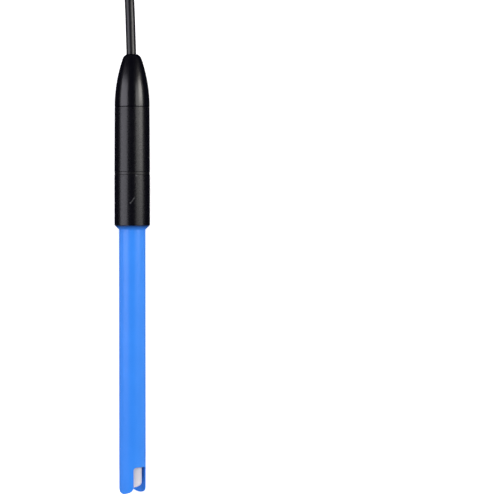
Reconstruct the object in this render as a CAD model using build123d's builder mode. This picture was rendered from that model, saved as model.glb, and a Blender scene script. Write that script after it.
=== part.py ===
from build123d import *
import os
from math import acos, atan2, cos, degrees, radians, sin, sqrt, tan

os.makedirs("parts", exist_ok=True)

# A digital pH electrode that lies on a bench, with its cable led off to a tied hank and a plug.
# Lengths are in millimetres. Along the electrode they are counted from the tip of its guard.

# Fits
FIT = 0.05
EDGE = 0.2

# Shaft
SHAFT_R = 6.0
SHAFT_LENGTH = 120.0
SHAFT_WALL = 1.2
SHOULDER_LENGTH = 1.6
SHOULDER_STEP = 0.35
RIM_LAND = 0.2
SPIGOT_LENGTH = 7.5

# Guard at the tip, with its slot running across at an angle about the axis
GUARD_WALL = 0.8
SLOT_DEPTH = 12.2
SLOT_WIDTH = 8.3
SLOT_CORNER_R = 1.4
SLOT_AZIMUTH = 51.5
PRONG_ROUND = 2.6
SEAL_SETBACK = 3.3
SEAL_LENGTH = 4.5

# Glass
BULB_CLEARANCE = 0.95
BULB_SETBACK = 2.4
BULB_CAP_R = 6.0
BULB_CORNER_R = 2.2
BULB_WALL = 0.45
GEL_GAP = 1.6
STEM_WALL = 0.7
STEM_RISE = 1.5

# Electrolyte and the elements in it
TOP_PLUG_LENGTH = 6.0
JUNCTION_R = 0.4
REFERENCE_R = 0.4
REFERENCE_START = 12.0
INNER_WIRE_R = 0.3
INNER_COAT_R = 0.6
INNER_COAT_LENGTH = 9.0
INNER_WIRE_START = 8.0
PROBE_R = 0.8
PROBE_TIP_ROUND = 0.7
PROBE_START = 6.5
ELEMENT_GAP = 0.4
BUFFER_HEADROOM = 25.0
CAP_LENGTH = 4.0
CAP_FLANGE = 1.0
LEAD_STUB = 1.5

# Head
HEAD_R = 8.05
HEAD_WALL = 1.6
LOWER_SHELL_LENGTH = 23.1
GASKET_LENGTH = 1.2
GASKET_STEP = 0.1
MIDDLE_SHELL_LENGTH = 29.5
MIDDLE_TOP_R = 7.9
TONGUE_LENGTH = 5.0
TONGUE_WALL = 0.8
O_RING_SECTION_R = 0.55
O_RING_PLACE = 3.6

# Cable boot
BOOT_LENGTH = 23.9
BOOT_CURVE_R = 68.0
BOOT_NOSE_R = 1.9
BOOT_NOSE_LENGTH = 2.0
BOOT_WALL = 1.8
CLAMP_LENGTH = 6.0
CLAMP_WALL = 1.1

# Circuit board
BOARD_THICKNESS = 1.0
BOARD_START_GAP = 1.0
BOARD_END_GAP = 3.0
BOARD_SIDE_GAP = 0.25
CHIP_HEIGHT = 1.2
AMPLIFIER_SIZE = 5.0
CONVERTER_SIZE = 7.0
MEMORY_SIZE = 3.6
CAPACITOR_LENGTH = 1.6
CAPACITOR_WIDTH = 0.8
CAPACITOR_HEIGHT = 0.7
CAPACITOR_PITCH = 1.7
CAPACITOR_COUNT = 4
HEADER_LENGTH = 3.0
HEADER_HEIGHT = 1.6
HEADER_WIDTH = 8.0
CORE_R = 0.4
CORE_GAP = 0.4
CORE_PITCH = 1.7
CORE_BEND_R = 0.8
LEAD_BEND_R = 0.4

# Cable
CORD_D = 4.4
CORD_R = CORD_D / 2
STRAIGHT_RUN = 25.0
BEND_SHARE = 0.45

# Shared sizes that follow from the ones above
BORE_R = SHAFT_R - SHAFT_WALL
GUARD_BORE_R = SHAFT_R - GUARD_WALL
RIM_S = SHAFT_LENGTH + SHOULDER_LENGTH + RIM_LAND
HEAD_BORE_R = HEAD_R - HEAD_WALL
SPIGOT_R = HEAD_BORE_R - FIT
SPIGOT_END = RIM_S + SPIGOT_LENGTH
SEAL_START = SLOT_DEPTH + SEAL_SETBACK
SEAL_END = SEAL_START + SEAL_LENGTH
BULB_R = GUARD_BORE_R - BULB_CLEARANCE
STEM_R = BORE_R - GEL_GAP
STEM_BORE_R = STEM_R - STEM_WALL
TOP_PLUG_END = SHAFT_LENGTH - STEM_RISE
TOP_PLUG_START = TOP_PLUG_END - TOP_PLUG_LENGTH
STEM_END = TOP_PLUG_END + STEM_RISE
CAP_START = STEM_END - CAP_LENGTH
LOWER_END = RIM_S + LOWER_SHELL_LENGTH
MIDDLE_START = LOWER_END + GASKET_LENGTH
BOOT_START = MIDDLE_START + MIDDLE_SHELL_LENGTH
BOOT_END = BOOT_START + BOOT_LENGTH
TONGUE_R = HEAD_BORE_R + TONGUE_WALL

# The head is thicker than the shaft, so the electrode lies tilted, on the head's rim and on the tip
TILT = atan2(HEAD_R - SHAFT_R, RIM_S - PRONG_ROUND)
AXIS_DIR = Vector(0, cos(TILT), sin(TILT))
UP_DIR = Vector(0, -sin(TILT), cos(TILT))
TIP = Vector(0, -BOOT_END * cos(TILT) / 2, SHAFT_R * cos(TILT) - PRONG_ROUND * sin(TILT))
CENTRE_LINE = Axis(TIP, AXIS_DIR)

# Lengthwise half section: local x runs along the electrode, local y is the radius
HALF = Plane(origin=TIP, x_dir=AXIS_DIR, z_dir=(1, 0, 0))


def cross(along):
    """Plane across the electrode: local x is +X, local y points down, normal towards the cable."""
    return Plane(origin=TIP + AXIS_DIR * along, x_dir=(1, 0, 0), z_dir=AXIS_DIR)


def lengthwise(azimuth):
    """Plane that holds the axis, facing the given azimuth; 0 is straight up, +90 is +X."""
    facing = Vector(1, 0, 0) * sin(radians(azimuth)) + UP_DIR * cos(radians(azimuth))
    return Plane(origin=TIP, x_dir=AXIS_DIR, z_dir=facing)


def at_azimuth(azimuth, radius):
    """Point of a cross plane at an azimuth and a radius."""
    return (radius * sin(radians(azimuth)), -radius * cos(radians(azimuth)))


# Shaft: a turned tube with its shoulder and spigot, then the slot and the rounded prongs
PRONG_HALF_WIDTH = sqrt(SHAFT_R**2 - (SLOT_WIDTH / 2) ** 2)
O_RING_S = RIM_S + O_RING_PLACE
O_RING_GROOVE_R = HEAD_BORE_R - 2 * O_RING_SECTION_R
with BuildPart() as shaft:
    with BuildSketch(HALF):
        with BuildLine():
            Polyline(
                (0, SHAFT_R),
                (SHAFT_LENGTH, SHAFT_R),
                (SHAFT_LENGTH + SHOULDER_LENGTH, HEAD_R - SHOULDER_STEP),
                (RIM_S, HEAD_R - SHOULDER_STEP),
                (RIM_S, SPIGOT_R),
                (SPIGOT_END, SPIGOT_R),
                (SPIGOT_END, BORE_R),
                (SEAL_END, BORE_R),
                (SEAL_END, GUARD_BORE_R),
                (0, GUARD_BORE_R),
                close=True,
            )
        make_face()
    revolve(axis=CENTRE_LINE)
    with BuildSketch(HALF):
        with Locations((O_RING_S, HEAD_BORE_R)):
            Rectangle(2 * O_RING_SECTION_R + 2 * FIT, 2 * (HEAD_BORE_R - O_RING_GROOVE_R))
    revolve(axis=CENTRE_LINE, mode=Mode.SUBTRACT)
    with BuildSketch(lengthwise(SLOT_AZIMUTH)) as slot:
        with Locations((SLOT_DEPTH / 2 - SLOT_WIDTH / 2, 0)):
            Rectangle(SLOT_DEPTH + SLOT_WIDTH, SLOT_WIDTH)
        fillet(slot.vertices().group_by(Axis.X)[-1], SLOT_CORNER_R)
    extrude(amount=2 * SHAFT_R, both=True, mode=Mode.SUBTRACT)
    with BuildSketch(lengthwise(SLOT_AZIMUTH - 90)):
        with BuildLine():
            ThreePointArc((PRONG_ROUND, -PRONG_HALF_WIDTH), (0, 0), (PRONG_ROUND, PRONG_HALF_WIDTH))
            Polyline(
                (PRONG_ROUND, PRONG_HALF_WIDTH),
                (PRONG_ROUND, SHAFT_R),
                (-PRONG_ROUND, SHAFT_R),
                (-PRONG_ROUND, -SHAFT_R),
                (PRONG_ROUND, -SHAFT_R),
                (PRONG_ROUND, -PRONG_HALF_WIDTH),
            )
        make_face()
    extrude(amount=2 * SHAFT_R, both=True, mode=Mode.SUBTRACT)
shaft.part.label = "shaft"
export_step(shaft.part, "parts/shaft.step")

# Glass: a thick stem that necks out into the thin sensing membrane with its domed end
NECK_START = SLOT_DEPTH + 2 * EDGE
NECK_END = SEAL_START - EDGE
CAP_CENTRE_S = BULB_SETBACK + BULB_CAP_R
CAP_TO_CORNER = BULB_CAP_R - BULB_CORNER_R
CORNER_S = CAP_CENTRE_S - sqrt(CAP_TO_CORNER**2 - (BULB_R - BULB_CORNER_R) ** 2)
CAP_ANGLE = degrees(atan2(BULB_R - BULB_CORNER_R, CAP_CENTRE_S - CORNER_S))


def bulb_outline(inset, stem_r):
    """Half outline of the blown end, from the axis to the stem, moved inwards from the outer surface."""
    wall_r = BULB_R - inset
    neck_middle = ((NECK_START + NECK_END) / 2, (wall_r + stem_r) / 2)
    CenterArc((CAP_CENTRE_S, 0), BULB_CAP_R - inset, 180 - CAP_ANGLE, CAP_ANGLE)
    CenterArc((CORNER_S, BULB_R - BULB_CORNER_R), BULB_CORNER_R - inset, 90, 90 - CAP_ANGLE)
    Line((CORNER_S, wall_r), (NECK_START, wall_r))
    TangentArc((NECK_START, wall_r), neck_middle, tangent=(1, 0))
    TangentArc((NECK_END, stem_r), neck_middle, tangent=(-1, 0))


with BuildPart() as glass_electrode:
    with BuildSketch(HALF):
        with BuildLine():
            bulb_outline(0, STEM_R)
            Polyline((NECK_END, STEM_R), (STEM_END, STEM_R), (STEM_END, STEM_BORE_R), (NECK_END, STEM_BORE_R))
            bulb_outline(BULB_WALL, STEM_BORE_R)
            Line((BULB_SETBACK, 0), (BULB_SETBACK + BULB_WALL, 0))
        make_face()
    revolve(axis=CENTRE_LINE)
glass_electrode.part.label = "glass_electrode"
export_step(glass_electrode.part, "parts/glass_electrode.step")

# The two elements that stand in the glass, left and right of its axis
PROBE_X = -(STEM_BORE_R - ELEMENT_GAP - PROBE_R)
INNER_WIRE_X = STEM_BORE_R - ELEMENT_GAP - INNER_COAT_R
PROBE_END = STEM_END + CAP_FLANGE + LEAD_STUB
with BuildPart() as temperature_probe:
    with BuildSketch(cross(PROBE_START)):
        with Locations((PROBE_X, 0)):
            Circle(PROBE_R)
    extrude(amount=PROBE_END - PROBE_START)
    fillet(temperature_probe.edges().group_by(Axis.Y)[0], PROBE_TIP_ROUND)
temperature_probe.part.label = "temperature_probe"
export_step(temperature_probe.part, "parts/temperature_probe.step")

with BuildPart() as inner_wire:
    with BuildSketch(cross(INNER_WIRE_START)):
        with Locations((INNER_WIRE_X, 0)):
            Circle(INNER_COAT_R)
    extrude(amount=INNER_COAT_LENGTH)
    with BuildSketch(cross(INNER_WIRE_START + INNER_COAT_LENGTH)):
        with Locations((INNER_WIRE_X, 0)):
            Circle(INNER_WIRE_R)
    extrude(amount=PROBE_END - INNER_WIRE_START - INNER_COAT_LENGTH)
inner_wire.part.label = "inner_wire"
export_step(inner_wire.part, "parts/inner_wire.step")

# Buffer: fills the glass up to some way below the cap, round both elements
BUFFER_END = CAP_START - BUFFER_HEADROOM
BUFFER_R = STEM_BORE_R - FIT
with BuildPart() as inner_buffer:
    with BuildSketch(HALF):
        with BuildLine():
            bulb_outline(BULB_WALL + FIT, BUFFER_R)
            Polyline(
                (NECK_END, BUFFER_R),
                (BUFFER_END, BUFFER_R),
                (BUFFER_END, 0),
                (BULB_SETBACK + BULB_WALL + FIT, 0),
            )
        make_face()
    revolve(axis=CENTRE_LINE)
    with BuildSketch(cross(PROBE_START - FIT)):
        with Locations((PROBE_X, 0)):
            Circle(PROBE_R + FIT)
    extrude(amount=BUFFER_END, mode=Mode.SUBTRACT)
    with BuildSketch(cross(INNER_WIRE_START - FIT)):
        with Locations((INNER_WIRE_X, 0)):
            Circle(INNER_COAT_R + FIT)
    extrude(amount=BUFFER_END, mode=Mode.SUBTRACT)
inner_buffer.part.label = "inner_buffer"
export_step(inner_buffer.part, "parts/inner_buffer.step")

# Stopper in the mouth of the stem
with BuildPart() as stem_cap:
    with BuildSketch(cross(CAP_START)):
        Circle(STEM_BORE_R - FIT)
    extrude(amount=CAP_LENGTH)
    with BuildSketch(cross(STEM_END)):
        Circle(STEM_R)
    extrude(amount=CAP_FLANGE)
    with BuildSketch(cross(CAP_START)):
        with Locations((PROBE_X, 0)):
            Circle(PROBE_R + FIT)
        with Locations((INNER_WIRE_X, 0)):
            Circle(INNER_WIRE_R + FIT)
    extrude(amount=CAP_LENGTH + CAP_FLANGE, mode=Mode.SUBTRACT)
stem_cap.part.label = "stem_cap"
export_step(stem_cap.part, "parts/stem_cap.step")

# Seal above the guard, with the porous junction pin through it
RING_MIDDLE_R = STEM_R + GEL_GAP / 2
JUNCTION_AZIMUTH = SLOT_AZIMUTH
with BuildPart() as tip_seal:
    with BuildSketch(cross(SEAL_START)):
        Circle(GUARD_BORE_R - FIT)
        Circle(STEM_R + FIT, mode=Mode.SUBTRACT)
        with Locations(at_azimuth(JUNCTION_AZIMUTH, RING_MIDDLE_R)):
            Circle(JUNCTION_R + FIT, mode=Mode.SUBTRACT)
    extrude(amount=SEAL_LENGTH)
tip_seal.part.label = "tip_seal"
export_step(tip_seal.part, "parts/tip_seal.step")

with BuildPart() as fibre_junction:
    with BuildSketch(cross(SEAL_START - EDGE)):
        with Locations(at_azimuth(JUNCTION_AZIMUTH, RING_MIDDLE_R)):
            Circle(JUNCTION_R)
    extrude(amount=SEAL_LENGTH + EDGE)
fibre_junction.part.label = "fibre_junction"
export_step(fibre_junction.part, "parts/fibre_junction.step")

# Reference side: gel in the ring round the stem, a wire in it and the disc that closes it
REFERENCE_AZIMUTH = 0
REFERENCE_S = SEAL_END + REFERENCE_START
with BuildPart() as gel_electrolyte:
    with BuildSketch(cross(SEAL_END)):
        Circle(BORE_R - FIT)
        Circle(STEM_R + FIT, mode=Mode.SUBTRACT)
    extrude(amount=TOP_PLUG_START - SEAL_END)
    with BuildSketch(cross(REFERENCE_S)):
        with Locations(at_azimuth(REFERENCE_AZIMUTH, RING_MIDDLE_R)):
            Circle(REFERENCE_R + FIT)
    extrude(amount=TOP_PLUG_START - REFERENCE_S, mode=Mode.SUBTRACT)
gel_electrolyte.part.label = "gel_electrolyte"
export_step(gel_electrolyte.part, "parts/gel_electrolyte.step")

with BuildPart() as reference_wire:
    with BuildSketch(cross(REFERENCE_S)):
        with Locations(at_azimuth(REFERENCE_AZIMUTH, RING_MIDDLE_R)):
            Circle(REFERENCE_R)
    extrude(amount=PROBE_END - REFERENCE_S)
reference_wire.part.label = "reference_wire"
export_step(reference_wire.part, "parts/reference_wire.step")

with BuildPart() as shaft_top_plug:
    with BuildSketch(cross(TOP_PLUG_START)):
        Circle(BORE_R - FIT)
        Circle(STEM_R + FIT, mode=Mode.SUBTRACT)
        with Locations(at_azimuth(REFERENCE_AZIMUTH, RING_MIDDLE_R)):
            Circle(REFERENCE_R + FIT, mode=Mode.SUBTRACT)
    extrude(amount=TOP_PLUG_LENGTH)
shaft_top_plug.part.label = "shaft_top_plug"
export_step(shaft_top_plug.part, "parts/shaft_top_plug.step")

with BuildPart() as shaft_o_ring:
    with BuildSketch(HALF):
        with Locations((O_RING_S, HEAD_BORE_R - O_RING_SECTION_R)):
            Circle(O_RING_SECTION_R - FIT)
    revolve(axis=CENTRE_LINE)
shaft_o_ring.part.label = "shaft_o_ring"
export_step(shaft_o_ring.part, "parts/shaft_o_ring.step")

# Lower shell: sits on the shoulder, and its thinner tongue reaches into the middle shell
with BuildPart() as head_lower_shell:
    with BuildSketch(HALF):
        with BuildLine():
            Polyline(
                (RIM_S, HEAD_BORE_R),
                (RIM_S, HEAD_R - EDGE),
                (RIM_S + EDGE, HEAD_R),
                (LOWER_END - EDGE, HEAD_R),
                (LOWER_END, HEAD_R - EDGE),
                (LOWER_END, TONGUE_R),
                (MIDDLE_START + TONGUE_LENGTH, TONGUE_R),
                (MIDDLE_START + TONGUE_LENGTH, HEAD_BORE_R),
                close=True,
            )
        make_face()
    revolve(axis=CENTRE_LINE)
head_lower_shell.part.label = "head_lower_shell"
export_step(head_lower_shell.part, "parts/head_lower_shell.step")

with BuildPart() as joint_gasket:
    with BuildSketch(cross(LOWER_END)):
        Circle(HEAD_R - GASKET_STEP)
        Circle(TONGUE_R + FIT, mode=Mode.SUBTRACT)
    extrude(amount=GASKET_LENGTH)
joint_gasket.part.label = "joint_gasket"
export_step(joint_gasket.part, "parts/joint_gasket.step")

# Middle shell: counterbored for the tongue below, with a tongue of its own for the boot
BOOT_TONGUE_R = MIDDLE_TOP_R - BOOT_WALL
with BuildPart() as head_middle_shell:
    with BuildSketch(HALF):
        with BuildLine():
            Polyline(
                (MIDDLE_START, TONGUE_R + FIT),
                (MIDDLE_START, HEAD_R - EDGE),
                (MIDDLE_START + EDGE, HEAD_R),
                (BOOT_START - EDGE, MIDDLE_TOP_R),
                (BOOT_START, MIDDLE_TOP_R - EDGE),
                (BOOT_START, BOOT_TONGUE_R),
                (BOOT_START + TONGUE_LENGTH, BOOT_TONGUE_R),
                (BOOT_START + TONGUE_LENGTH, BOOT_TONGUE_R - TONGUE_WALL),
                (BOOT_START - TONGUE_WALL, BOOT_TONGUE_R - TONGUE_WALL),
                (BOOT_START - TONGUE_WALL, HEAD_BORE_R),
                (MIDDLE_START + TONGUE_LENGTH + FIT, HEAD_BORE_R),
                (MIDDLE_START + TONGUE_LENGTH + FIT, TONGUE_R + FIT),
                close=True,
            )
        make_face()
    revolve(axis=CENTRE_LINE)
head_middle_shell.part.label = "head_middle_shell"
export_step(head_middle_shell.part, "parts/head_middle_shell.step")

# Boot: a long tangent curve from the middle shell to the rounded nose round the cable
BOOT_CURVE_LENGTH = BOOT_LENGTH - BOOT_NOSE_LENGTH
BOOT_CURVE_DROP = BOOT_CURVE_R - sqrt(BOOT_CURVE_R**2 - BOOT_CURVE_LENGTH**2)
BOOT_NOSE_START_R = MIDDLE_TOP_R - BOOT_CURVE_DROP
BOOT_MOUTH_R = CORD_R + FIT
CLAMP_END = BOOT_END - BOOT_WALL - CLAMP_LENGTH
CLAMP_START = CLAMP_END - CLAMP_LENGTH
CLAMP_R = CORD_R + FIT + CLAMP_WALL
BOOT_CAVITY_R = CLAMP_R + FIT
with BuildPart() as cable_boot:
    with BuildSketch(HALF):
        with BuildLine():
            Line((BOOT_START, BOOT_TONGUE_R + FIT), (BOOT_START, MIDDLE_TOP_R - EDGE))
            Line((BOOT_START, MIDDLE_TOP_R - EDGE), (BOOT_START + EDGE, MIDDLE_TOP_R))
            ogive = TangentArc(
                (BOOT_START + EDGE, MIDDLE_TOP_R),
                (BOOT_END - BOOT_NOSE_LENGTH, BOOT_NOSE_START_R),
                tangent=(1, 0),
            )
            nose = TangentArc(ogive @ 1, (BOOT_END, BOOT_NOSE_START_R - BOOT_NOSE_R), tangent=ogive % 1)
            Polyline(
                nose @ 1,
                (BOOT_END, BOOT_MOUTH_R),
                (CLAMP_END, BOOT_MOUTH_R),
                (CLAMP_END, BOOT_CAVITY_R),
                (CLAMP_START, BOOT_CAVITY_R),
                (BOOT_START + TONGUE_LENGTH + FIT, BOOT_TONGUE_R + FIT),
                (BOOT_START, BOOT_TONGUE_R + FIT),
            )
        make_face()
    revolve(axis=CENTRE_LINE)
cable_boot.part.label = "cable_boot"
export_step(cable_boot.part, "parts/cable_boot.step")

with BuildPart() as cable_clamp:
    with BuildSketch(cross(CLAMP_START)):
        Circle(CLAMP_R)
        Circle(CORD_R + FIT, mode=Mode.SUBTRACT)
    extrude(amount=CLAMP_LENGTH)
cable_clamp.part.label = "cable_clamp"
export_step(cable_clamp.part, "parts/cable_clamp.step")

# Board: lies across the head's axis, held at both long edges by the shells
BOARD_START = SPIGOT_END + BOARD_START_GAP
BOARD_END = BOOT_START - BOARD_END_GAP
BOARD_HALF_WIDTH = sqrt((HEAD_BORE_R - BOARD_SIDE_GAP) ** 2 - (BOARD_THICKNESS / 2) ** 2)
BOARD_TOP = TIP + UP_DIR * (BOARD_THICKNESS / 2)


def board_face(along, sideways=0.0):
    """Plane on the board's upper face: local x runs along the electrode, local z is up."""
    return Plane(
        origin=BOARD_TOP + AXIS_DIR * along + Vector(sideways, 0, 0),
        x_dir=AXIS_DIR,
        z_dir=UP_DIR,
    )


with BuildPart() as circuit_board:
    with BuildSketch(board_face((BOARD_START + BOARD_END) / 2)):
        RectangleRounded(BOARD_END - BOARD_START, 2 * BOARD_HALF_WIDTH, 2 * EDGE)
    extrude(amount=-BOARD_THICKNESS)
circuit_board.part.label = "circuit_board"
export_step(circuit_board.part, "parts/circuit_board.step")

HEADER_START_S = BOARD_START + HEADER_LENGTH / 2
HEADER_END_S = BOARD_END - HEADER_LENGTH / 2
AMPLIFIER_S = HEADER_START_S + HEADER_LENGTH / 2 + AMPLIFIER_SIZE
CONVERTER_S = AMPLIFIER_S + AMPLIFIER_SIZE / 2 + CONVERTER_SIZE
MEMORY_S = CONVERTER_S + CONVERTER_SIZE / 2 + MEMORY_SIZE

with BuildPart() as sensor_header:
    with BuildSketch(board_face(HEADER_START_S)):
        Rectangle(HEADER_LENGTH, HEADER_WIDTH)
    extrude(amount=HEADER_HEIGHT)
sensor_header.part.label = "sensor_header"
export_step(sensor_header.part, "parts/sensor_header.step")

with BuildPart() as cable_header:
    with BuildSketch(board_face(HEADER_END_S)):
        Rectangle(HEADER_LENGTH, HEADER_WIDTH)
    extrude(amount=HEADER_HEIGHT)
cable_header.part.label = "cable_header"
export_step(cable_header.part, "parts/cable_header.step")

with BuildPart() as amplifier_chip:
    with BuildSketch(board_face(AMPLIFIER_S)):
        Rectangle(AMPLIFIER_SIZE, AMPLIFIER_SIZE)
    extrude(amount=CHIP_HEIGHT)
    chamfer(amplifier_chip.faces().sort_by(Axis.Z)[-1].edges(), EDGE)
amplifier_chip.part.label = "amplifier_chip"
export_step(amplifier_chip.part, "parts/amplifier_chip.step")

with BuildPart() as converter_chip:
    with BuildSketch(board_face(CONVERTER_S)):
        Rectangle(CONVERTER_SIZE, CONVERTER_SIZE)
    extrude(amount=CHIP_HEIGHT)
    chamfer(converter_chip.faces().sort_by(Axis.Z)[-1].edges(), EDGE)
converter_chip.part.label = "converter_chip"
export_step(converter_chip.part, "parts/converter_chip.step")

with BuildPart() as memory_chip:
    with BuildSketch(board_face(MEMORY_S)):
        Rectangle(MEMORY_SIZE, MEMORY_SIZE)
    extrude(amount=CHIP_HEIGHT)
    chamfer(memory_chip.faces().sort_by(Axis.Z)[-1].edges(), EDGE)
memory_chip.part.label = "memory_chip"
export_step(memory_chip.part, "parts/memory_chip.step")

with BuildPart() as board_capacitors:
    with BuildSketch(board_face(AMPLIFIER_S + AMPLIFIER_SIZE / 2 + CAPACITOR_LENGTH)):
        with GridLocations(CAPACITOR_LENGTH, CAPACITOR_PITCH, 1, CAPACITOR_COUNT):
            Rectangle(CAPACITOR_LENGTH, CAPACITOR_WIDTH)
    extrude(amount=CAPACITOR_HEIGHT)
board_capacitors.part.label = "board_capacitors"
export_step(board_capacitors.part, "parts/board_capacitors.step")

# Wires: each goes straight out of its sensor or of the cable, bends once each way, and ends in a header
HEADER_LINE = BOARD_THICKNESS / 2 + HEADER_HEIGHT / 2


def electrode_point(along, sideways, up):
    """Point given by its distance along the electrode, its distance to +X and its height over the axis."""
    return TIP + AXIS_DIR * along + Vector(sideways, 0, 0) + UP_DIR * up


def wire_route(start_s, start_x, start_up, end_s, end_x, end_up):
    """Four points of a wire that leaves and arrives along the electrode."""
    step = (end_s - start_s) / 3
    return [
        electrode_point(start_s, start_x, start_up),
        electrode_point(start_s + step, start_x, start_up),
        electrode_point(end_s - step, end_x, end_up),
        electrode_point(end_s, end_x, end_up),
    ]


SENSOR_ENDS = [(PROBE_X, 0.0), (0.0, RING_MIDDLE_R), (INNER_WIRE_X, 0.0)]
SENSOR_PINS = [-CORE_PITCH, 0.0, CORE_PITCH]
with BuildPart() as sensor_leads:
    for (sensor_x, sensor_up), pin_x in zip(SENSOR_ENDS, SENSOR_PINS):
        route = wire_route(PROBE_END, sensor_x, sensor_up, BOARD_START, pin_x, HEADER_LINE)
        with BuildLine() as lead_line:
            FilletPolyline(*route, radius=LEAD_BEND_R)
        with BuildSketch(Plane(origin=route[0], x_dir=(1, 0, 0), z_dir=AXIS_DIR)):
            Circle(INNER_WIRE_R)
        sweep(path=lead_line.wires()[0])
sensor_leads.part.label = "sensor_leads"
export_step(sensor_leads.part, "parts/sensor_leads.step")

CABLE_START = CLAMP_START - CLAMP_WALL
CORE_SQUARE = CORE_R + CORE_GAP / 2
CORE_ENDS = [
    (-CORE_SQUARE, CORE_SQUARE),
    (-CORE_SQUARE, -CORE_SQUARE),
    (CORE_SQUARE, -CORE_SQUARE),
    (CORE_SQUARE, CORE_SQUARE),
]
CORE_PINS = [-CORE_PITCH / 2, -3 * CORE_PITCH / 2, 3 * CORE_PITCH / 2, CORE_PITCH / 2]
with BuildPart() as cable_cores:
    for (core_x, core_up), pin_x in zip(CORE_ENDS, CORE_PINS):
        route = wire_route(BOARD_END, pin_x, HEADER_LINE, CABLE_START, core_x, core_up)
        with BuildLine() as core_line:
            FilletPolyline(*route, radius=CORE_BEND_R)
        with BuildSketch(Plane(origin=route[0], x_dir=(1, 0, 0), z_dir=AXIS_DIR)):
            Circle(CORE_R)
        sweep(path=core_line.wires()[0])
cable_cores.part.label = "cable_cores"
export_step(cable_cores.part, "parts/cable_cores.step")

# Hank: turns of cable that lie two wide and three high, folded at both ends and drawn in at the waist
STRANDS_WIDE = 2
LAYERS = 3
FOLD_R = 13.2
HALF_RUN = 36.5
HANK_Y = 212.5
TAIL_STUB_SHARE = 0.72
WAIST_SQUEEZE = 0.2
HANK_EDGE_R = 1.75
TIE_THICKNESS = 0.8
TIE_WIDTH = 8.0
TIE_CORNER_R = 0.3
HALF_BAND = STRANDS_WIDE * CORD_R
MID_FOLD_R = FOLD_R - CORD_R + HALF_BAND
OUTER_FOLD_R = MID_FOLD_R + HALF_BAND - CORD_R
WAIST_X = HALF_BAND - WAIST_SQUEEZE
WAIST_CURVE_R = (HALF_RUN**2 / (MID_FOLD_R - WAIST_X) - MID_FOLD_R - WAIST_X) / 2
WAIST_CENTRE_X = WAIST_X + WAIST_CURVE_R
LOBE_ANGLE = degrees(atan2(HALF_RUN, WAIST_CENTRE_X))
CUSP_ANGLE = degrees(acos(WAIST_CENTRE_X / (WAIST_CURVE_R + HALF_BAND)))
HANK_HEIGHT = LAYERS * CORD_D
HANK_X = OUTER_FOLD_R + CORD_R - HEAD_R
STRAND_X = HANK_X - OUTER_FOLD_R
HANK_PLANE = Plane(origin=(HANK_X, HANK_Y, 0), x_dir=(1, 0, 0), z_dir=(0, 0, 1))
TOP_STRAND_Z = HANK_HEIGHT - CORD_R
LOBE_R = MID_FOLD_R + HALF_BAND
STRAND_STUB = sqrt(LOBE_R**2 - (OUTER_FOLD_R - CORD_R) ** 2) + CORD_R / 2
TAIL_FOOT = Vector(HANK_X + FOLD_R, HANK_Y + HALF_RUN, TOP_STRAND_Z)
TAIL_KNEE = Vector(HANK_X + 1.15 * CORD_D, HANK_Y + 0.44 * HALF_RUN, HANK_HEIGHT + 0.95 * CORD_D)
TAIL_STUB_END = TAIL_FOOT + (TAIL_KNEE - TAIL_FOOT) * TAIL_STUB_SHARE
with BuildPart() as cable_hank:
    with BuildSketch(HANK_PLANE):
        with BuildLine():
            for end in (1, -1):
                lobe_start = 90 * end - 90 - LOBE_ANGLE
                waist_start = 90 * end + 90 - LOBE_ANGLE
                CenterArc((0, end * HALF_RUN), LOBE_R, lobe_start, 180 + 2 * LOBE_ANGLE)
                CenterArc((end * WAIST_CENTRE_X, 0), WAIST_CURVE_R - HALF_BAND, waist_start, 2 * LOBE_ANGLE)
        make_face()
    extrude(amount=HANK_HEIGHT)
    fillet(cable_hank.faces().filter_by(Axis.Z).edges(), HANK_EDGE_R)
    with BuildSketch(HANK_PLANE):
        for end in (1, -1):
            lobe_start = 90 * end - 90 - LOBE_ANGLE
            side_sweep = end * (LOBE_ANGLE - CUSP_ANGLE)
            side_r = WAIST_CURVE_R + HALF_BAND
            with BuildLine():
                CenterArc((0, end * HALF_RUN), MID_FOLD_R - HALF_BAND, lobe_start, 180 + 2 * LOBE_ANGLE)
                CenterArc((WAIST_CENTRE_X, 0), side_r, 180 - end * LOBE_ANGLE, side_sweep)
                CenterArc((-WAIST_CENTRE_X, 0), side_r, end * LOBE_ANGLE, -side_sweep)
            make_face()
    extrude(amount=HANK_HEIGHT, mode=Mode.SUBTRACT)
    with BuildSketch(HANK_PLANE):
        Rectangle(4 * HALF_BAND, TIE_WIDTH + 2 * FIT)
    extrude(amount=TIE_THICKNESS + FIT, mode=Mode.SUBTRACT)
    with BuildSketch(Plane(origin=(STRAND_X, HANK_Y - HALF_RUN, CORD_R), x_dir=(1, 0, 0), z_dir=(0, -1, 0))):
        Circle(CORD_R)
    extrude(amount=STRAND_STUB)
    with BuildSketch(Plane(origin=TAIL_FOOT, x_dir=(0, 0, 1), z_dir=TAIL_KNEE - TAIL_FOOT)):
        Circle(CORD_R)
    extrude(amount=(TAIL_STUB_END - TAIL_FOOT).length)
cable_hank.part.label = "cable_hank"
export_step(cable_hank.part, "parts/cable_hank.step")

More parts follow.
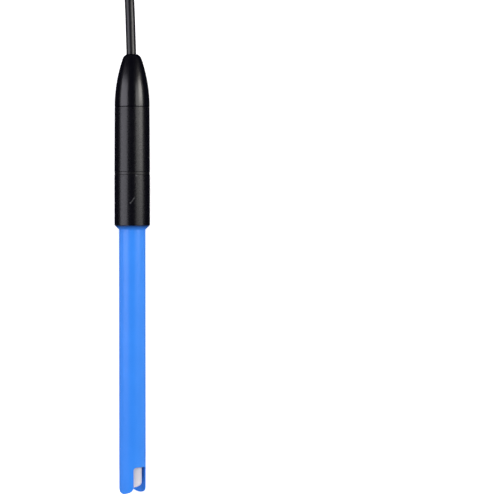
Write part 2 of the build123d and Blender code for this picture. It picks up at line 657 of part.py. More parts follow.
SIDE_CURVE_R = WAIST_CURVE_R - HALF_BAND
TIE_SIDE_SAG = SIDE_CURVE_R - sqrt(SIDE_CURVE_R**2 - (TIE_WIDTH / 2) ** 2)
TIE_INNER_HALF = WAIST_X + HALF_BAND + TIE_SIDE_SAG + FIT
TIE_TOP = HANK_HEIGHT + FIT
TIE_INNER_HEIGHT = TIE_TOP - TIE_THICKNESS
with BuildPart() as hank_tie:
    with BuildSketch(Plane(origin=(HANK_X, HANK_Y, 0), x_dir=(1, 0, 0), z_dir=(0, -1, 0))):
        with Locations((0, TIE_THICKNESS + TIE_INNER_HEIGHT / 2)):
            RectangleRounded(
                2 * (TIE_INNER_HALF + TIE_THICKNESS),
                TIE_INNER_HEIGHT + 2 * TIE_THICKNESS,
                TIE_CORNER_R + TIE_THICKNESS,
            )
            RectangleRounded(2 * TIE_INNER_HALF, TIE_INNER_HEIGHT, TIE_CORNER_R, mode=Mode.SUBTRACT)
    extrude(amount=TIE_WIDTH / 2, both=True)
hank_tie.part.label = "hank_tie"
export_step(hank_tie.part, "parts/hank_tie.step")


def corner_radii(points):
    """Arc radius at each inner point of a route, so that its arc takes the given share of the shorter run."""
    radii = []
    for before, here, after in zip(points, points[1:], points[2:]):
        run_in = here - before
        run_out = after - here
        turn = radians(run_in.get_angle(run_out))
        radii.append(BEND_SHARE * min(run_in.length, run_out.length) / tan(turn / 2))
    return radii


# Cable from the clamp to the hank: straight out of the boot, then down to the bench
CABLE_ROUTE = [
    electrode_point(CABLE_START, 0.0, 0.0),
    electrode_point(BOOT_END + STRAIGHT_RUN, 0.0, 0.0),
    Vector(-2.4, 137.2, 6.7),
    Vector(STRAND_X, 149.5, CORD_R),
    Vector(STRAND_X, HANK_Y - HALF_RUN - STRAND_STUB, CORD_R),
]
CABLE_RADII = corner_radii(CABLE_ROUTE)
print("cable radii:", [round(r, 1) for r in CABLE_RADII])
with BuildPart() as cable_tube:
    with BuildLine() as cable_line:
        FilletPolyline(*CABLE_ROUTE, radius=CABLE_RADII)
    with BuildSketch(Plane(origin=CABLE_ROUTE[0], x_dir=(1, 0, 0), z_dir=AXIS_DIR)):
        Circle(CORD_R)
    sweep(path=cable_line.wires()[0])
cable_tube.part.label = "cable_tube"
export_step(cable_tube.part, "parts/cable_tube.step")

# Plug: lies on the hank, over its near fold, and points back towards the electrode
PLUG_X = HANK_X + WAIST_X - CORD_R
PLUG_Y = 205.0
PLUG_R = 5.5
PLUG_SINK = 0.7
PLUG_Z = HANK_HEIGHT + PLUG_R - PLUG_SINK
RELIEF_LENGTH = 15.0
RELIEF_TIP_R = 3.0
RELIEF_END_R = 4.4
RELIEF_RING_COUNT = 4
RELIEF_RING_WIDTH = 1.2
RELIEF_RING_DEPTH = 0.6
GRIP_LENGTH = 20.0
GRIP_GROOVE_COUNT = 14
GRIP_GROOVE_R = 0.5
GRIP_GROOVE_LENGTH = 12.0
RING_LENGTH = 9.0
RING_R = 4.6
RING_WALL = 0.7
RING_SEAT = 4.0
INSERT_SETBACK = 0.6
INSERT_LENGTH = 9.0
CONTACT_R = 0.75
CONTACT_BORE_R = 0.45
CONTACT_CIRCLE_R = 2.0
CONTACT_COUNT = 4
KEY_WIDTH = 1.4
KEY_LENGTH = 3.0
SEAL_RING_R = 0.5
PLUG_LINE = Axis((PLUG_X, PLUG_Y, PLUG_Z), (0, -1, 0))

# Half section of the plug: local x runs from the cable towards the plug's end, local y is the radius
PLUG_HALF = Plane(origin=(PLUG_X, PLUG_Y, PLUG_Z), x_dir=(0, -1, 0), z_dir=(-1, 0, 0))


def plug_cross(along):
    """Plane across the plug, its normal towards the plug's end."""
    return Plane(origin=(PLUG_X, PLUG_Y - along, PLUG_Z), x_dir=(1, 0, 0), z_dir=(0, -1, 0))


TAIL_ROUTE = [
    TAIL_STUB_END,
    TAIL_KNEE,
    Vector(PLUG_X + CORD_R / 2, PLUG_Y + 15.0, PLUG_Z),
    Vector(PLUG_X, PLUG_Y + 7.5, PLUG_Z),
    Vector(PLUG_X, PLUG_Y, PLUG_Z),
]
TAIL_RADII = corner_radii(TAIL_ROUTE)
print("tail radii:", [round(r, 1) for r in TAIL_RADII])
with BuildPart() as cable_tail:
    with BuildLine() as tail_line:
        FilletPolyline(*TAIL_ROUTE, radius=TAIL_RADII)
    with BuildSketch(Plane(origin=TAIL_ROUTE[-1], x_dir=(1, 0, 0), z_dir=(0, -1, 0))):
        Circle(CORD_R)
    sweep(path=tail_line.wires()[0])
cable_tail.part.label = "cable_tail"
export_step(cable_tail.part, "parts/cable_tail.step")

# Strain relief of the plug: a taper with rings cut into it
RELIEF_RING_PITCH = RELIEF_LENGTH / (RELIEF_RING_COUNT + 1)
with BuildPart() as plug_relief:
    with BuildSketch(PLUG_HALF):
        with BuildLine():
            Polyline(
                (0, 0),
                (0, RELIEF_TIP_R),
                (RELIEF_LENGTH, RELIEF_END_R),
                (RELIEF_LENGTH, 0),
                close=True,
            )
        make_face()
        for ring in range(1, RELIEF_RING_COUNT + 1):
            along = ring * RELIEF_RING_PITCH
            surface_r = RELIEF_TIP_R + (RELIEF_END_R - RELIEF_TIP_R) * along / RELIEF_LENGTH
            with Locations((along, surface_r)):
                Rectangle(RELIEF_RING_WIDTH, 2 * RELIEF_RING_DEPTH, mode=Mode.SUBTRACT)
    revolve(axis=PLUG_LINE)
plug_relief.part.label = "plug_relief"
export_step(plug_relief.part, "parts/plug_relief.step")

# Grip: an overmoulded barrel with flutes, hollow at its end for the metal ring
with BuildPart() as plug_grip:
    with BuildSketch(plug_cross(RELIEF_LENGTH)):
        Circle(PLUG_R)
    extrude(amount=GRIP_LENGTH)
    fillet(plug_grip.edges(), PLUG_R - RELIEF_END_R - EDGE)
    with BuildSketch(plug_cross(RELIEF_LENGTH + (GRIP_LENGTH - GRIP_GROOVE_LENGTH) / 2)):
        with PolarLocations(PLUG_R, GRIP_GROOVE_COUNT, start_angle=90 + 180 / GRIP_GROOVE_COUNT):
            Circle(GRIP_GROOVE_R)
    extrude(amount=GRIP_GROOVE_LENGTH, mode=Mode.SUBTRACT)
    with BuildSketch(plug_cross(RELIEF_LENGTH + GRIP_LENGTH - RING_SEAT)):
        Circle(RING_R + FIT)
    extrude(amount=RING_SEAT, mode=Mode.SUBTRACT)
plug_grip.part.label = "plug_grip"
export_step(plug_grip.part, "parts/plug_grip.step")

# Metal ring with its keyway, the insert in it and the contact sleeves in the insert
RING_START = RELIEF_LENGTH + GRIP_LENGTH - RING_SEAT + FIT
RING_END = RELIEF_LENGTH + GRIP_LENGTH + RING_LENGTH
with BuildPart() as plug_ring:
    with BuildSketch(plug_cross(RING_START)):
        Circle(RING_R)
        Circle(RING_R - RING_WALL, mode=Mode.SUBTRACT)
    extrude(amount=RING_END - RING_START)
    chamfer(plug_ring.edges().group_by(Axis.Y)[0].sort_by(SortBy.LENGTH)[-1], EDGE)
    with BuildSketch(plug_cross(RING_END - KEY_LENGTH)):
        with Locations((0, RING_R)):
            Rectangle(KEY_WIDTH, 4 * RING_WALL)
    extrude(amount=KEY_LENGTH, mode=Mode.SUBTRACT)
plug_ring.part.label = "plug_ring"
export_step(plug_ring.part, "parts/plug_ring.step")

INSERT_START = RING_END - INSERT_SETBACK - INSERT_LENGTH
with BuildPart() as plug_insert:
    with BuildSketch(plug_cross(INSERT_START)):
        Circle(RING_R - RING_WALL - FIT)
        with PolarLocations(CONTACT_CIRCLE_R, CONTACT_COUNT, start_angle=45):
            Circle(CONTACT_R + FIT, mode=Mode.SUBTRACT)
    extrude(amount=INSERT_LENGTH)
plug_insert.part.label = "plug_insert"
export_step(plug_insert.part, "parts/plug_insert.step")

with BuildPart() as plug_contacts:
    with BuildSketch(plug_cross(INSERT_START)):
        with PolarLocations(CONTACT_CIRCLE_R, CONTACT_COUNT, start_angle=45):
            Circle(CONTACT_R)
            Circle(CONTACT_BORE_R, mode=Mode.SUBTRACT)
    extrude(amount=INSERT_LENGTH)
plug_contacts.part.label = "plug_contacts"
export_step(plug_contacts.part, "parts/plug_contacts.step")

with BuildPart() as plug_seal:
    with BuildSketch(PLUG_HALF):
        with Locations((RELIEF_LENGTH + GRIP_LENGTH + SEAL_RING_R + FIT, RING_R + FIT + SEAL_RING_R)):
            Circle(SEAL_RING_R)
    revolve(axis=PLUG_LINE)
plug_seal.part.label = "plug_seal"
export_step(plug_seal.part, "parts/plug_seal.step")
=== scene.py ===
from math import atan2, cos, pi, radians, sin

import bpy
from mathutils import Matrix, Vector


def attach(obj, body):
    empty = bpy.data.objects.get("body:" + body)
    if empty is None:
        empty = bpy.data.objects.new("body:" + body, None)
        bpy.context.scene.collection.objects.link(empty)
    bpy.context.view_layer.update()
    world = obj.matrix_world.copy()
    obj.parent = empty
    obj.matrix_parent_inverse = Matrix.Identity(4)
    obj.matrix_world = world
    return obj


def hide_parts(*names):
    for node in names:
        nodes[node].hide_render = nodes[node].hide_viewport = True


# A digital pH electrode on a pale studio floor, seen from straight above.
# Lengths are in metres. Along the electrode they are counted from the tip of its guard, as in the CAD model.

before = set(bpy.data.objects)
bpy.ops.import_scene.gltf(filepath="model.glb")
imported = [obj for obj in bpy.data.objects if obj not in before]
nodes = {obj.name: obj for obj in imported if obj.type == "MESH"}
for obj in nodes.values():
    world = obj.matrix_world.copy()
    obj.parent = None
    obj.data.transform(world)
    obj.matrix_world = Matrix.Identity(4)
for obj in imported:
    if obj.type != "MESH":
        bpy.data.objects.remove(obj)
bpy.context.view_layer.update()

# Sizes of the CAD model that the looks and the cable refer to
SHAFT_R = 0.006
HEAD_R = 0.00805
PRONG_ROUND = 0.0026
SHOULDER_S = 0.12
RIM_S = 0.1218
LOWER_SHELL_LENGTH = 0.0231
GASKET_LENGTH = 0.0012
MIDDLE_SHELL_LENGTH = 0.0295
BOOT_LENGTH = 0.0239
BOOT_END = RIM_S + LOWER_SHELL_LENGTH + GASKET_LENGTH + MIDDLE_SHELL_LENGTH + BOOT_LENGTH
TILT = atan2(HEAD_R - SHAFT_R, RIM_S - PRONG_ROUND)
AXIS_DIR = Vector((0, cos(TILT), sin(TILT)))
TIP = Vector((0, -BOOT_END * cos(TILT) / 2, SHAFT_R * cos(TILT) - PRONG_ROUND * sin(TILT)))

# Looks. Scales are in waves a metre, and a grain is its scale and its depth.
CLOUD_SCALE = 90.0
STREAK_SCALE = 700.0
SCUFF_STRETCH = (6, 0.5, 6)
DRAWN_STRETCH = (12, 0.3, 12)
# Painted shade on the shaft's shoulder under the head's rim: a dark blue laid over the blue, full at the rim
# and fading out from this start
SHOULDER_PAINTED_SHADE = (0.002, 0.022, 0.10)
SHOULDER_PAINTED_SHADE_START = SHOULDER_S - 0.0004
MARK_COLOUR = (0.16, 0.16, 0.17)
MARK_GRAIN_SCALE = 2500.0
BLOWN_SCALE = 250.0
BLOWN_DEPTH = 2e-5
MILK_SCALE = 400.0
RIB_SCALE = 1100.0
WEFT_SCALE = 900.0
WEAVE_DEPTH = 1.2e-4
PLASTIC_IOR = 1.46
DARKER_SHARE = 0.85

# How far the roughness falls and rises, and the grain, of plain plastic and of metal
PLAIN_GLOSS = (-0.05, 0.05)
PLAIN_GRAIN = (1500.0, 5e-6)
METAL_GLOSS = (-0.05, 0.08)
METAL_GRAIN = (4000.0, 2e-6)

# Wear on the lower shell: place (sideways, along), turn, half length, half width and strength
MARKS = [
    ((0.0007, 0.1333), radians(54), 0.0019, 0.00028, 0.55),
    ((-0.0004, 0.1320), radians(20), 0.0004, 0.00035, 0.9),
    ((0.0023, 0.1444), 0.0, 0.0005, 0.0004, 1.0),
]

# Shares of a mark's half length and half width up to which it is at full strength
MARK_LENGTH_CORE = 0.6
MARK_WIDTH_CORE = 0.4

# Cable
CORD_D = 0.0044
CORD_R = CORD_D / 2
CABLE_START = 0.1846
STRAIGHT_RUN = 0.025
STRAIGHT_DRIFT = -0.0009
STRAND_X = -0.00585
PLUG_X = 0.01375
PLUG_Z = 0.018

# Hank: a closed outline of two lobes and a waist, which the strand follows turn after turn
HANK_CENTRE = Vector((0.01175, 0.2125, 0))
HALF_RUN = 0.0365
MID_FOLD_R = 0.0154
WAIST_X = 0.0042
WAIST_CURVE_R = (HALF_RUN**2 / (MID_FOLD_R - WAIST_X) - MID_FOLD_R - WAIST_X) / 2
WAIST_CENTRE_X = WAIST_X + WAIST_CURVE_R
LOBE_ANGLE = atan2(HALF_RUN, WAIST_CENTRE_X)
TURNS = 5.54
POINTS_PER_TURN = 36
TIE_THICKNESS = 0.0008
TIE_WIDTH = 0.008
TIE_LIFT_LOSS = 0.44

# Where the strand changes sides (start, end, outwards or inwards) and climbs a layer (start, end), in turns
SIDE_CHANGES = [(0.68, 0.77, -1), (2.41, 2.555, 1), (4.21, 4.30, -1)]
CLIMBS = [(1.555, 1.635), (3.36, 3.46), (5.17, 5.30)]

# Studio
CAMERA_PLACE = (0.05353, 0.0109, 0.988)
VIEW_ANGLE = radians(13.23)
FLOOR_HALF_SIDE = 6.0
FLOOR_COLOUR = (0.92, 0.92, 0.925, 1)
FLOOR_GLOW = 0.5
SIDE_DISTANCE = 0.9
SIDE_TARGET_Z = 0.01
END_DISTANCE = 1.3
END_TURN = radians(55)
END_SIZE = (0.9, 0.8)

# Panels at the sides: name, side, turn from the zenith, place along Y, size, radiance and colour
SIDE_PANELS = [
    ("left_box", -1, radians(54), 0.175, (0.55, 0.84), 3.3, (0.92, 0.90, 1.0)),
    ("right_box", 1, radians(52), 0.21, (0.38, 0.80), 3.3, (1.0, 0.99, 0.97)),
    ("right_strip", 1, radians(62), 0.29, (0.28, 0.36), 6.5, (1.0, 0.95, 0.88)),
]

# Panels beyond the ends of the electrode: name, end and radiance
END_PANELS = [("tip_fill", -1, 4.4), ("far_fill", 1, 3.4)]

# Sky from straight down (0) to straight up (1): dark below, a little paler at the horizon, dim overhead
SKY = [
    (0.48, (0.02, 0.02, 0.03)),
    (0.50, (0.12, 0.12, 0.13)),
    (0.56, (0.12, 0.12, 0.132)),
    (0.72, (0.05, 0.05, 0.055)),
]


def electrode_point(along, sideways=0.0):
    """Point given by its distance along the electrode and its distance to +X."""
    return TIP + AXIS_DIR * along + Vector((sideways, 0, 0))


# Nodes of a material
def add_node(tree, kind, inputs=None, **settings):
    """Adds a shader node; an input is given either a value or the socket that feeds it."""
    made = tree.nodes.new("ShaderNode" + kind)
    for name, value in settings.items():
        setattr(made, name, value)
    for name, value in (inputs or {}).items():
        if isinstance(value, bpy.types.NodeSocket):
            tree.links.new(value, made.inputs[name])
        else:
            made.inputs[name].default_value = value
    return made


def new_material(name):
    """A material with its node tree and its shader."""
    material = bpy.data.materials.new(name)
    material.use_nodes = True
    tree = material.node_tree
    return material, tree, tree.nodes["Principled BSDF"]


def electrode_coords(tree):
    """Coordinates with their origin at the tip and their Y along the electrode."""
    place = add_node(tree, "TexCoord").outputs["Object"]
    turned = {"Vector": place, "Location": TIP, "Rotation": (TILT, 0, 0)}
    return add_node(tree, "Mapping", turned, vector_type="TEXTURE").outputs["Vector"]


def stretched(tree, coords, scale):
    """The same coordinates, scaled on each axis."""
    return add_node(tree, "Mapping", {"Vector": coords, "Scale": scale}).outputs["Vector"]


def noise(tree, coords, scale, detail=3.0, roughness=0.5):
    """Grey noise round 0.5."""
    values = {"Vector": coords, "Scale": scale, "Detail": detail, "Roughness": roughness}
    return add_node(tree, "TexNoise", values).outputs["Fac"]


def spread(tree, value, low, high, start=0.3, end=0.7):
    """Moves a value from the range start to end into the range low to high."""
    span = {"Value": value, "From Min": start, "From Max": end, "To Min": low, "To Max": high}
    return add_node(tree, "MapRange", span).outputs["Result"]


def calculate(tree, operation, first, second=0.0):
    """One sum, product or other operation."""
    return add_node(tree, "Math", {0: first, 1: second}, operation=operation).outputs["Value"]


def blend_colours(tree, share, first, second):
    """Mixes two colours by a share."""
    mixed = add_node(tree, "Mix", {0: share}, data_type="RGBA")
    for socket, colour in ((mixed.inputs[6], first), (mixed.inputs[7], second)):
        if isinstance(colour, bpy.types.NodeSocket):
            tree.links.new(colour, socket)
        else:
            socket.default_value = (*colour, 1)
    return mixed.outputs[2]


def paint_over(tree, shader, share, colour):
    """Lays a colour over the shader's base colour by a share."""
    base = shader.inputs["Base Color"]
    tree.links.new(blend_colours(tree, share, base.links[0].from_socket, colour), base)


def add_bump(tree, shader, height, distance):
    """Bump from a height between 0 and 1 that stands for the given distance."""
    bump = add_node(tree, "Bump", {"Height": height, "Distance": distance, "Strength": 1.0})
    tree.links.new(bump.outputs["Normal"], shader.inputs["Normal"])


def darker(colour):
    """The same colour, a little darker."""
    return tuple(DARKER_SHARE * part for part in colour)


def grained(name, colours, gloss, grain, stretch=(1, 1, 1), ior=1.5):
    """Plastic, rubber or metal: two colours mixed unevenly, an uneven gloss and a fine grain."""
    material, tree, shader = new_material(name)
    shader.inputs["IOR"].default_value = ior
    coords = electrode_coords(tree)
    cloud = noise(tree, coords, CLOUD_SCALE, detail=4.0)
    tree.links.new(blend_colours(tree, spread(tree, cloud, 0, 1), *colours), shader.inputs["Base Color"])
    streaks = noise(tree, stretched(tree, coords, stretch), STREAK_SCALE, detail=5.0, roughness=0.6)
    tree.links.new(spread(tree, streaks, *gloss), shader.inputs["Roughness"])
    grain_scale, grain_depth = grain
    add_bump(tree, shader, noise(tree, coords, grain_scale, detail=2.0), grain_depth)
    return material, tree, shader


# Materials of the electrode
def shaft_material():
    """Blue polymer, satin, with fine lengthwise scuffs and painted shade that darkens the shoulder under the
    rim.
    """
    blue, paler = (0.034, 0.235, 0.84), (0.039, 0.252, 0.88)
    gloss, grain = (0.27, 0.36), (2200.0, 4e-6)
    material, tree, shader = grained("shaft_blue", (blue, paler), gloss, grain, SCUFF_STRETCH, PLASTIC_IOR)
    along = add_node(tree, "SeparateXYZ", {"Vector": electrode_coords(tree)}).outputs["Y"]
    # Painted shade: the shoulder is darkened towards the head's rim
    paint_over(tree, shader, spread(tree, along, 0, 1, SHOULDER_PAINTED_SHADE_START, RIM_S), SHOULDER_PAINTED_SHADE)
    return material


def near_line(tree, coords, middle, turn, half_length, half_width):
    """1 on a short straight mark on the upper side of the electrode, fading to 0 at its edges."""
    placed = {"Vector": coords, "Location": (*middle, 0), "Rotation": (0, 0, turn)}
    local = add_node(tree, "Mapping", placed, vector_type="TEXTURE").outputs["Vector"]
    parts = add_node(tree, "SeparateXYZ", {"Vector": local}).outputs
    along = calculate(tree, "ABSOLUTE", parts["X"])
    across = calculate(tree, "ABSOLUTE", parts["Y"])
    length_fade = spread(tree, along, 1, 0, MARK_LENGTH_CORE * half_length, half_length)
    width_fade = spread(tree, across, 1, 0, MARK_WIDTH_CORE * half_width, half_width)
    upper = calculate(tree, "GREATER_THAN", parts["Z"], 0)
    return calculate(tree, "MULTIPLY", calculate(tree, "MULTIPLY", length_fade, width_fade), upper)


def shell_material():
    """Black moulded plastic with a fine grain, a short scratch and a chip at the joint."""
    black, greyer = (0.0006, 0.0005, 0.0022), (0.0010, 0.0009, 0.0030)
    gloss, grain = (0.25, 0.31), (2600.0, 5e-6)
    material, tree, shader = grained("head_black", (black, greyer), gloss, grain, ior=PLASTIC_IOR)
    coords = electrode_coords(tree)
    for middle, turn, half_length, half_width, strength in MARKS:
        mask = near_line(tree, coords, middle, turn, half_length, half_width)
        patchy = spread(tree, noise(tree, coords, MARK_GRAIN_SCALE), 0.2, 1)
        share = calculate(tree, "MULTIPLY", calculate(tree, "MULTIPLY", mask, patchy), strength)
        paint_over(tree, shader, share, MARK_COLOUR)
    return material


def boot_material():
    """Black elastomer, smoother and glossier than the shells."""
    black, greyer = (0.0004, 0.0003, 0.0020), (0.0007, 0.0006, 0.0026)
    return grained("boot_black", (black, greyer), (0.20, 0.26), (1800.0, 3e-6))[0]


def gasket_material():
    """Black rubber, a little duller than the shells."""
    black, greyer = (0.0008, 0.0008, 0.0018), (0.0014, 0.0014, 0.0026)
    return grained("seal_rubber", (black, greyer), (0.30, 0.36), (3000.0, 4e-6))[0]


def cable_material():
    """Black cable jacket, satin and finely grained."""
    black, greyer = (0.002, 0.002, 0.004), (0.004, 0.004, 0.006)
    return grained("cable_black", (black, greyer), (0.30, 0.38), (1500.0, 6e-6))[0]


def glass_material():
    """Milky blown glass."""
    material, tree, shader = new_material("guard_glass")
    coords = electrode_coords(tree)
    cloud = spread(tree, noise(tree, coords, MILK_SCALE, detail=2.0), 0, 1)
    milk = blend_colours(tree, cloud, (0.74, 0.72, 0.78), (0.79, 0.77, 0.83))
    tree.links.new(milk, shader.inputs["Base Color"])
    shader.inputs["Roughness"].default_value = 0.08
    shader.inputs["IOR"].default_value = 1.5
    shader.inputs["Transmission Weight"].default_value = 0.15
    add_bump(tree, shader, noise(tree, coords, BLOWN_SCALE, detail=1.0), BLOWN_DEPTH)
    return material


def plain_plastic(name, colour, roughness):
    """Plain moulded plastic for the pieces inside."""
    gloss = [roughness + change for change in PLAIN_GLOSS]
    return grained(name, (darker(colour), colour), gloss, PLAIN_GRAIN)[0]


def metal(name, colour, roughness):
    """Drawn or plated metal with fine lengthwise lines."""
    gloss = [roughness + change for change in METAL_GLOSS]
    material, _, shader = grained(name, (darker(colour), colour), gloss, METAL_GRAIN, DRAWN_STRETCH)
    shader.inputs["Metallic"].default_value = 1.0
    return material


def plug_material():
    """Overmoulded plug body, finely grained."""
    black, greyer = (0.010, 0.010, 0.012), (0.016, 0.016, 0.018)
    return grained("plug_black", (black, greyer), (0.42, 0.52), (2400.0, 1.2e-5))[0]


def strap_material():
    """Woven strap: fine ribs along and across."""
    material, tree, shader = new_material("tie_black")
    coords = add_node(tree, "TexCoord").outputs["Object"]
    across = add_node(tree, "TexWave", {"Vector": coords, "Scale": RIB_SCALE}, bands_direction="X")
    along = add_node(tree, "TexWave", {"Vector": coords, "Scale": WEFT_SCALE}, bands_direction="Y")
    weave = calculate(tree, "MULTIPLY", across.outputs["Fac"], along.outputs["Fac"])
    colour = blend_colours(tree, weave, (0.006, 0.006, 0.008), (0.030, 0.030, 0.034))
    tree.links.new(colour, shader.inputs["Base Color"])
    shader.inputs["Roughness"].default_value = 0.8
    shader.inputs["Sheen Weight"].default_value = 0.3
    add_bump(tree, shader, weave, WEAVE_DEPTH)
    return material


def dress_nodes():
    """Gives every CAD node its material."""
    shell = shell_material()
    rubber = gasket_material()
    cable = cable_material()
    plug = plug_material()
    pale = plain_plastic("seal_white", (0.72, 0.72, 0.68), 0.45)
    chip = plain_plastic("chip_black", (0.02, 0.02, 0.02), 0.45)
    header = plain_plastic("header_white", (0.76, 0.74, 0.66), 0.4)
    fluid = plain_plastic("fluid", (0.82, 0.84, 0.86), 0.2)
    silver = metal("silver", (0.75, 0.74, 0.70), 0.25)
    steel = metal("steel", (0.60, 0.60, 0.61), 0.3)
    looks = {
        "shaft": shaft_material(),
        "glass_electrode": glass_material(),
        "inner_buffer": fluid,
        "gel_electrolyte": fluid,
        "temperature_probe": steel,
        "inner_wire": silver,
        "reference_wire": silver,
        "stem_cap": pale,
        "tip_seal": pale,
        "shaft_top_plug": pale,
        "fibre_junction": plain_plastic("porous", (0.82, 0.80, 0.76), 0.8),
        "shaft_o_ring": rubber,
        "head_lower_shell": shell,
        "joint_gasket": rubber,
        "head_middle_shell": shell,
        "cable_boot": boot_material(),
        "cable_clamp": steel,
        "circuit_board": plain_plastic("board_green", (0.02, 0.15, 0.06), 0.35),
        "sensor_header": header,
        "cable_header": header,
        "amplifier_chip": chip,
        "converter_chip": chip,
        "memory_chip": chip,
        "board_capacitors": plain_plastic("capacitor", (0.32, 0.20, 0.11), 0.4),
        "sensor_leads": plain_plastic("wire_red", (0.45, 0.02, 0.015), 0.4),
        "cable_cores": plain_plastic("core_red", (0.45, 0.02, 0.015), 0.4),
        "cable_tube": cable,
        "cable_hank": cable,
        "cable_tail": cable,
        "hank_tie": strap_material(),
        "plug_relief": plug,
        "plug_grip": plug,
        "plug_ring": metal("ring_metal", (0.66, 0.66, 0.68), 0.22),
        "plug_insert": chip,
        "plug_contacts": metal("contact_gold", (0.80, 0.56, 0.22), 0.22),
        "plug_seal": rubber,
    }
    for name, material in looks.items():
        for slot in nodes[name].material_slots:
            slot.material = material
    return looks


# Route before and after the hank, as in the CAD model, but with the second point drifted to the left
CABLE_ROUTE = [
    electrode_point(CABLE_START),
    electrode_point(BOOT_END + STRAIGHT_RUN, STRAIGHT_DRIFT),
    Vector((-0.0024, 0.1372, 0.0067)),
    Vector((STRAND_X, 0.1495, CORD_R)),
    Vector((STRAND_X, 0.16245, CORD_R)),
]
TAIL_ROUTE = [
    Vector((0.01909, 0.23432, 0.01557)),
    Vector((0.01681, 0.22856, 0.01738)),
    Vector((PLUG_X + CORD_R / 2, 0.2200, PLUG_Z)),
    Vector((PLUG_X, 0.2125, PLUG_Z)),
    Vector((PLUG_X, 0.2050, PLUG_Z)),
]


def step_between(place, start, end):
    """Smooth step from 0 to 1 as a place goes from start to end."""
    share = min(max((place - start) / (end - start), 0), 1)
    return share * share * (3 - 2 * share)


def strand_offset(turns):
    """Cord widths from the middle of the band out to a strand, which starts on the outer side."""
    return 0.5 + sum(side * step_between(turns, start, end) for start, end, side in SIDE_CHANGES)


def strand_height(turns, y):
    """Height of a strand, which lies in three layers and ends on top, with a small lift over the tie."""
    layer = sum(step_between(turns, start, end) for start, end in CLIMBS)
    over_tie = 1 - step_between(abs(y), TIE_WIDTH / 2, 1.5 * TIE_WIDTH)
    lift = over_tie * TIE_THICKNESS * max(1 - TIE_LIFT_LOSS * layer, 0)
    return CORD_R + layer * CORD_D + lift


def band_point(share, offset):
    """Point of the hank's outline at a share of one turn, clockwise from the near lobe's left side."""
    lobe_sweep = pi / 2 + LOBE_ANGLE
    pieces = [
        (0, -1, MID_FOLD_R, pi, -LOBE_ANGLE),
        (-WAIST_CENTRE_X, 0, WAIST_CURVE_R, -LOBE_ANGLE, 2 * LOBE_ANGLE),
        (0, 1, MID_FOLD_R, pi + LOBE_ANGLE, -2 * lobe_sweep),
        (WAIST_CENTRE_X, 0, WAIST_CURVE_R, pi - LOBE_ANGLE, 2 * LOBE_ANGLE),
        (0, -1, MID_FOLD_R, LOBE_ANGLE, -LOBE_ANGLE - pi),
    ]
    lengths = [abs(radius * sweep) for _, _, radius, _, sweep in pieces]
    left = share * sum(lengths)
    for (x, end, radius, start, sweep), length in zip(pieces, lengths):
        if left <= length:
            break
        left -= length
    angle = start + sweep * min(left / length, 1)
    reach = radius + (offset if sweep < 0 else -offset)
    return Vector((x + reach * cos(angle), end * HALF_RUN + reach * sin(angle), 0))


def hank_points():
    """Control points of the turns, each moved out by as much as the smooth curve cuts inside it."""
    places = []
    for step in range(round(TURNS * POINTS_PER_TURN) + 1):
        turns = step / POINTS_PER_TURN
        point = band_point(turns % 1, strand_offset(turns) * CORD_D)
        point.z = strand_height(turns, point.y)
        places.append(HANK_CENTRE + point)
    return [
        here - (before + after - 2 * here) / 8
        for before, here, after in zip(places, places[1:], places[2:])
    ]


def make_cable(material):
    """The whole cable as one smooth tube."""
    route = CABLE_ROUTE + hank_points() + TAIL_ROUTE
    curve = bpy.data.curves.new("cable", "CURVE")
    curve.dimensions = "3D"
    curve.bevel_depth = CORD_R
    curve.bevel_resolution = 5
    curve.resolution_u = 4
    curve.use_fill_caps = True
    spline = curve.splines.new("NURBS")
    spline.points.add(len(route) - 1)
    for point, place in zip(spline.points, route):
        point.co = (*place, 1)
    spline.order_u = 3
    spline.use_endpoint_u = True
    cable = bpy.data.objects.new("cable", curve)
    bpy.context.collection.objects.link(cable)
    cable.data.materials.append(material)
    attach(cable, "root")
    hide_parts("cable_tube", "cable_hank", "cable_tail")


# Floor, lights, sky and camera
def add_floor():
    """Large pale floor that glows a little, so that it stays white beside the electrode."""
    mesh = bpy.data.meshes.new("floor")
    side = FLOOR_HALF_SIDE
    corners = [(-side, -side, 0), (side, -side, 0), (side, side, 0), (-side, side, 0)]
    mesh.from_pydata(corners, [], [(0, 1, 2, 3)])
    floor = bpy.data.objects.new("floor", mesh)
    bpy.context.collection.objects.link(floor)
    material, _, shader = new_material("floor_pale")
    shader.inputs["Base Color"].default_value = FLOOR_COLOUR
    shader.inputs["Roughness"].default_value = 0.9
    shader.inputs["Specular IOR Level"].default_value = 0.0
    shader.inputs["Emission Color"].default_value = (1, 1, 1, 1)
    shader.inputs["Emission Strength"].default_value = FLOOR_GLOW
    mesh.materials.append(material)
    floor.visible_glossy = False


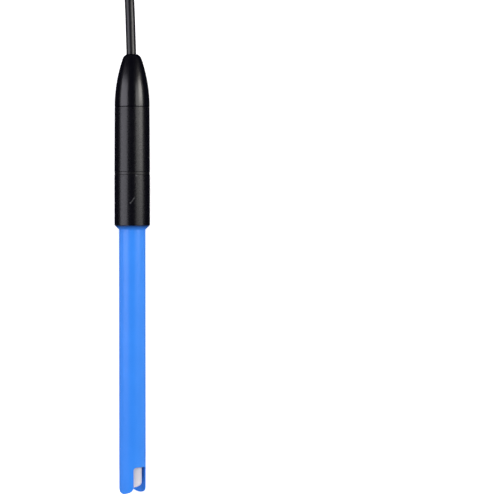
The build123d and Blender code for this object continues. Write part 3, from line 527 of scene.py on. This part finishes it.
def add_panel(name, target, bearing, distance, size, radiance, colour, reflected):
    """Rectangular soft light that faces a target; one that isn't reflected only fills."""
    light = bpy.data.lights.new(name, "AREA")
    light.shape = "RECTANGLE"
    light.size, light.size_y = size
    light.energy = radiance * pi * size[0] * size[1]
    light.color = colour
    panel = bpy.data.objects.new(name, light)
    panel.location = target + bearing * distance
    panel.rotation_mode = "QUATERNION"
    panel.rotation_quaternion = bearing.to_track_quat("Z", "Y")
    panel.visible_camera = False
    panel.visible_glossy = reflected
    bpy.context.collection.objects.link(panel)


def add_lights():
    """Wide soft boxes at both sides, a brighter one by the boot, and fill from both ends."""
    for name, side, turn, place, size, radiance, colour in SIDE_PANELS:
        target = Vector((0, place, SIDE_TARGET_Z))
        bearing = Vector((side * sin(turn), 0, cos(turn)))
        add_panel(name, target, bearing, SIDE_DISTANCE, size, radiance, colour, True)
    for name, end, radiance in END_PANELS:
        bearing = Vector((0, end * sin(END_TURN), cos(END_TURN)))
        add_panel(name, Vector(), bearing, END_DISTANCE, END_SIZE, radiance, (1, 1, 1), False)


def add_world():
    """Dim sky, dark below the horizon, on a ramp that starts with two stops of its own."""
    world = bpy.data.worlds.new("studio")
    bpy.context.scene.world = world
    world.use_nodes = True
    tree = world.node_tree
    direction = add_node(tree, "TexCoord").outputs["Generated"]
    height = add_node(tree, "SeparateXYZ", {"Vector": direction}).outputs["Z"]
    ramp = add_node(tree, "ValToRGB", {"Fac": spread(tree, height, 0, 1, -1, 1)})
    stops = ramp.color_ramp.elements
    for index, (position, colour) in enumerate(SKY[:2]):
        stops[index].position = position
        stops[index].color = (*colour, 1)
    for position, colour in SKY[2:]:
        stops.new(position).color = (*colour, 1)
    tree.links.new(ramp.outputs["Color"], tree.nodes["Background"].inputs["Color"])
    tree.nodes["Background"].inputs["Strength"].default_value = 1.0


def add_camera():
    """Camera that looks straight down, as in the photograph."""
    data = bpy.data.cameras.new("camera")
    data.angle = VIEW_ANGLE
    data.clip_start = 0.01
    camera = bpy.data.objects.new("camera", data)
    camera.location = CAMERA_PLACE
    bpy.context.collection.objects.link(camera)
    bpy.context.scene.camera = camera


looks = dress_nodes()
make_cable(looks["cable_tube"])
add_floor()
add_lights()
add_world()
add_camera()
bpy.context.scene.view_settings.view_transform = "Standard"
